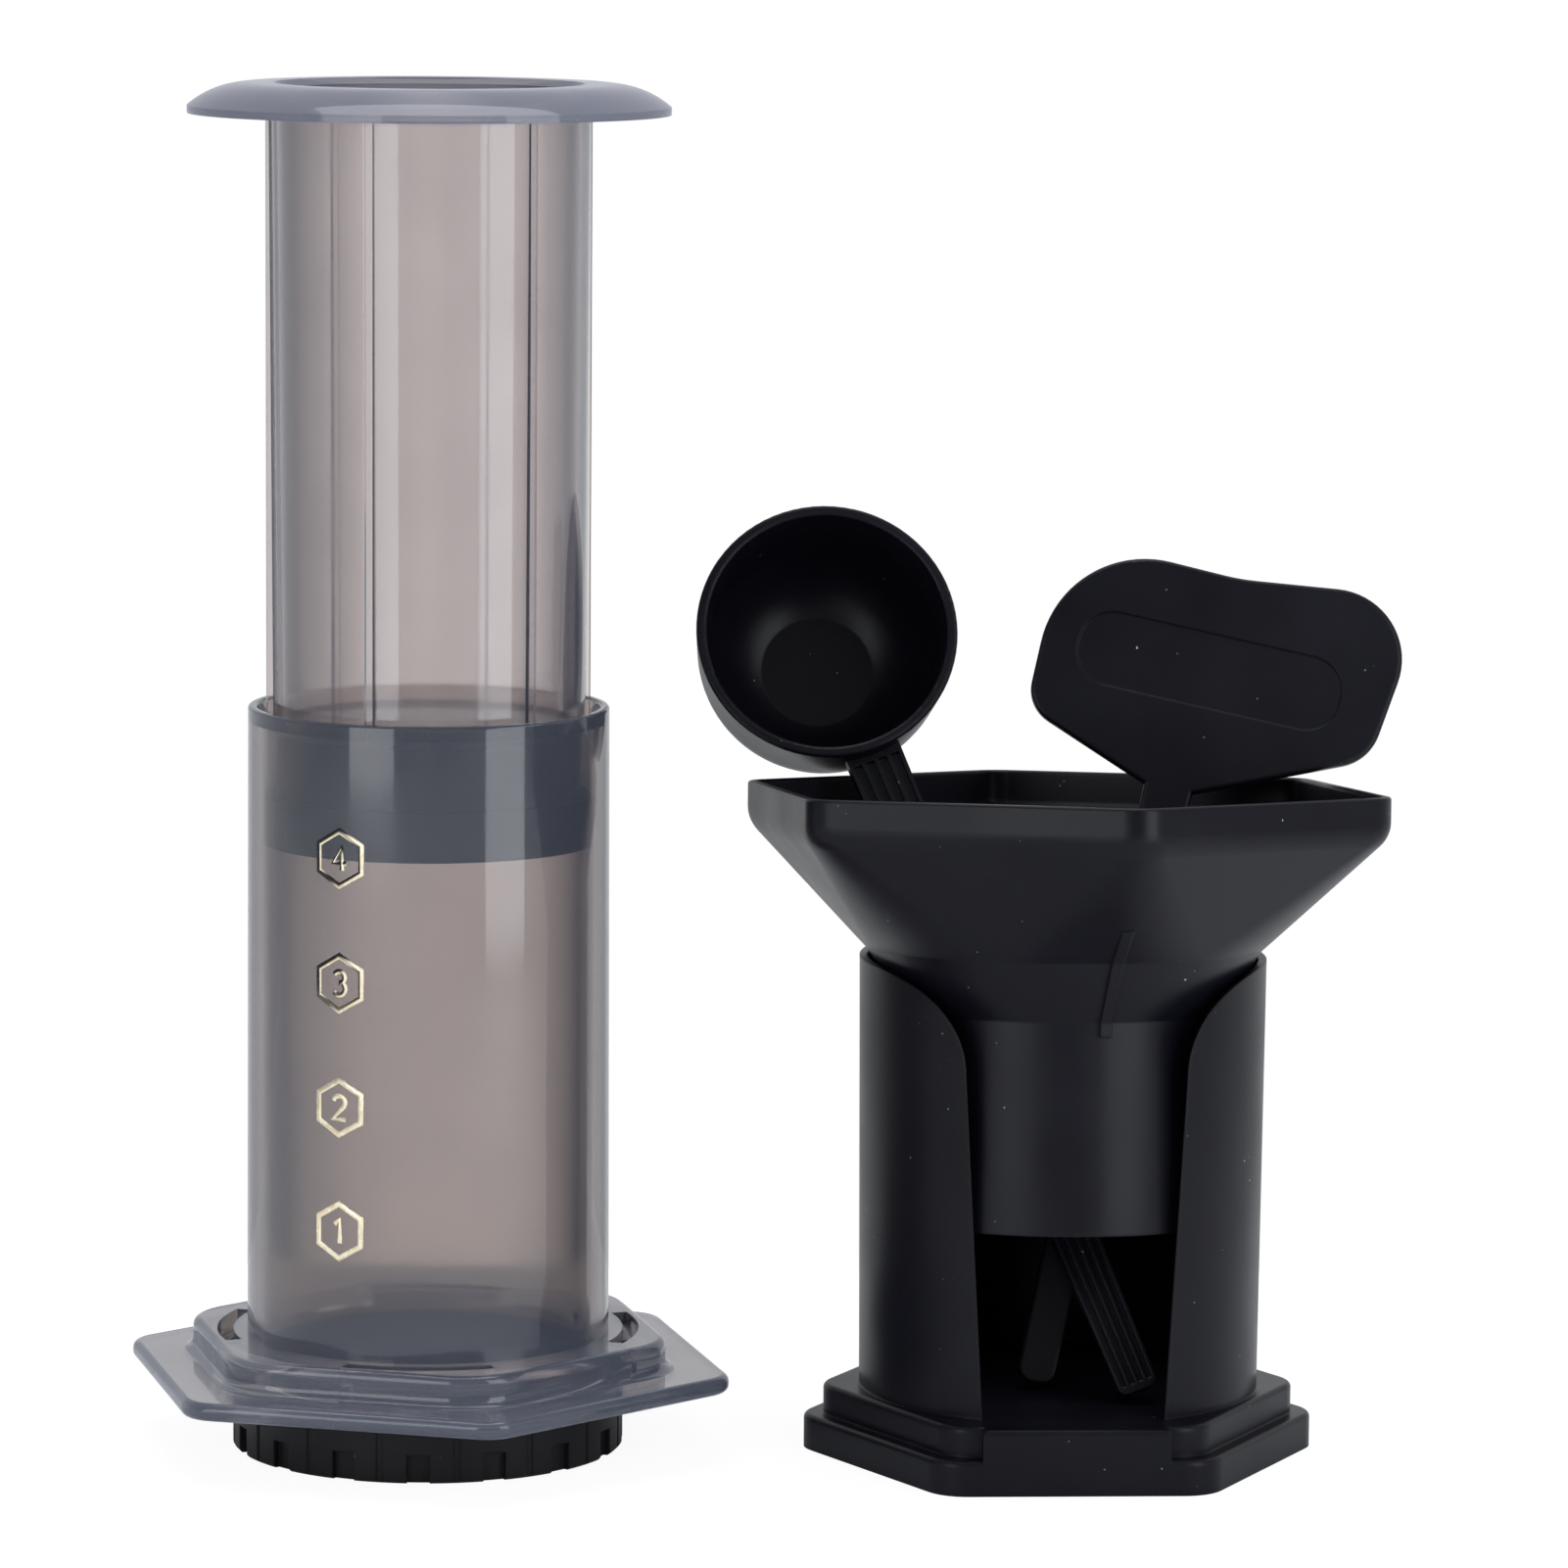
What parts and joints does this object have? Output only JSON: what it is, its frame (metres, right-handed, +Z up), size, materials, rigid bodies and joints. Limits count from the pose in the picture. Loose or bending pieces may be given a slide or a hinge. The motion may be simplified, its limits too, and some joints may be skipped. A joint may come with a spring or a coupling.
{
  "type": "portable coffee press",
  "caption": "Smoky clear hand coffee press with plunger, twist-on filter cap and hexagonal flange, beside a black caddy holding its funnel, scoop and stirrer",
  "frame": {"origin": "centre of the filter cap's underside, on the table under the press's axis", "axes": "+Z up along the press's axis; +X from the press to the caddy; -Y the front, where the level marks and the caddy's mouth face"},
  "size_m": [0.2359, 0.1217, 0.2505],
  "materials": {
    "smoke_chamber": "smoky clear, glossy",
    "smoke_plunger": "smoky clear, glossy",
    "seal_rubber": "matte",
    "black_cap": "satin",
    "filter_paper": "matte",
    "black_plastic": "satin"
  },
  "bodies": {
    "press": {"chamber": "smoke_chamber"},
    "plunger": {"plunger": "smoke_plunger", "plunger_seal": "seal_rubber"},
    "cap": {"filter_cap": "black_cap", "paper_filter": "filter_paper"},
    "caddy": {"caddy": "black_plastic"},
    "funnel": {"funnel": "black_plastic"},
    "scoop": {"scoop": "black_plastic"},
    "stirrer": {"stirrer": "black_plastic"}
  },
  "joints": [
    {"name": "plunger_slide", "type": "slide", "parent": "press", "child": "plunger", "axis": [0, 0, 1], "range_m": [-0.107, 0.03]},
    {"name": "cap_twist", "type": "hinge", "parent": "press", "child": "cap", "pos_m": [0, 0, 0], "axis": [0, 0, 1], "range_deg": [0, 45]},
    {"name": "caddy_slide", "type": "slide", "parent": "press", "child": "caddy", "axis": [1, 0, 0], "range_m": [0, 0.06]},
    {"name": "funnel_lift", "type": "slide", "parent": "caddy", "child": "funnel", "axis": [0, 0, 1], "range_m": [0, 0.09]},
    {"name": "scoop_lift", "type": "slide", "parent": "funnel", "child": "scoop", "axis": [0, 0, 1], "range_m": [0, 0.12]},
    {"name": "stirrer_lift", "type": "slide", "parent": "funnel", "child": "stirrer", "axis": [0.2173, 0.2473, 0.9443], "range_m": [0, 0.12]}
  ]
}
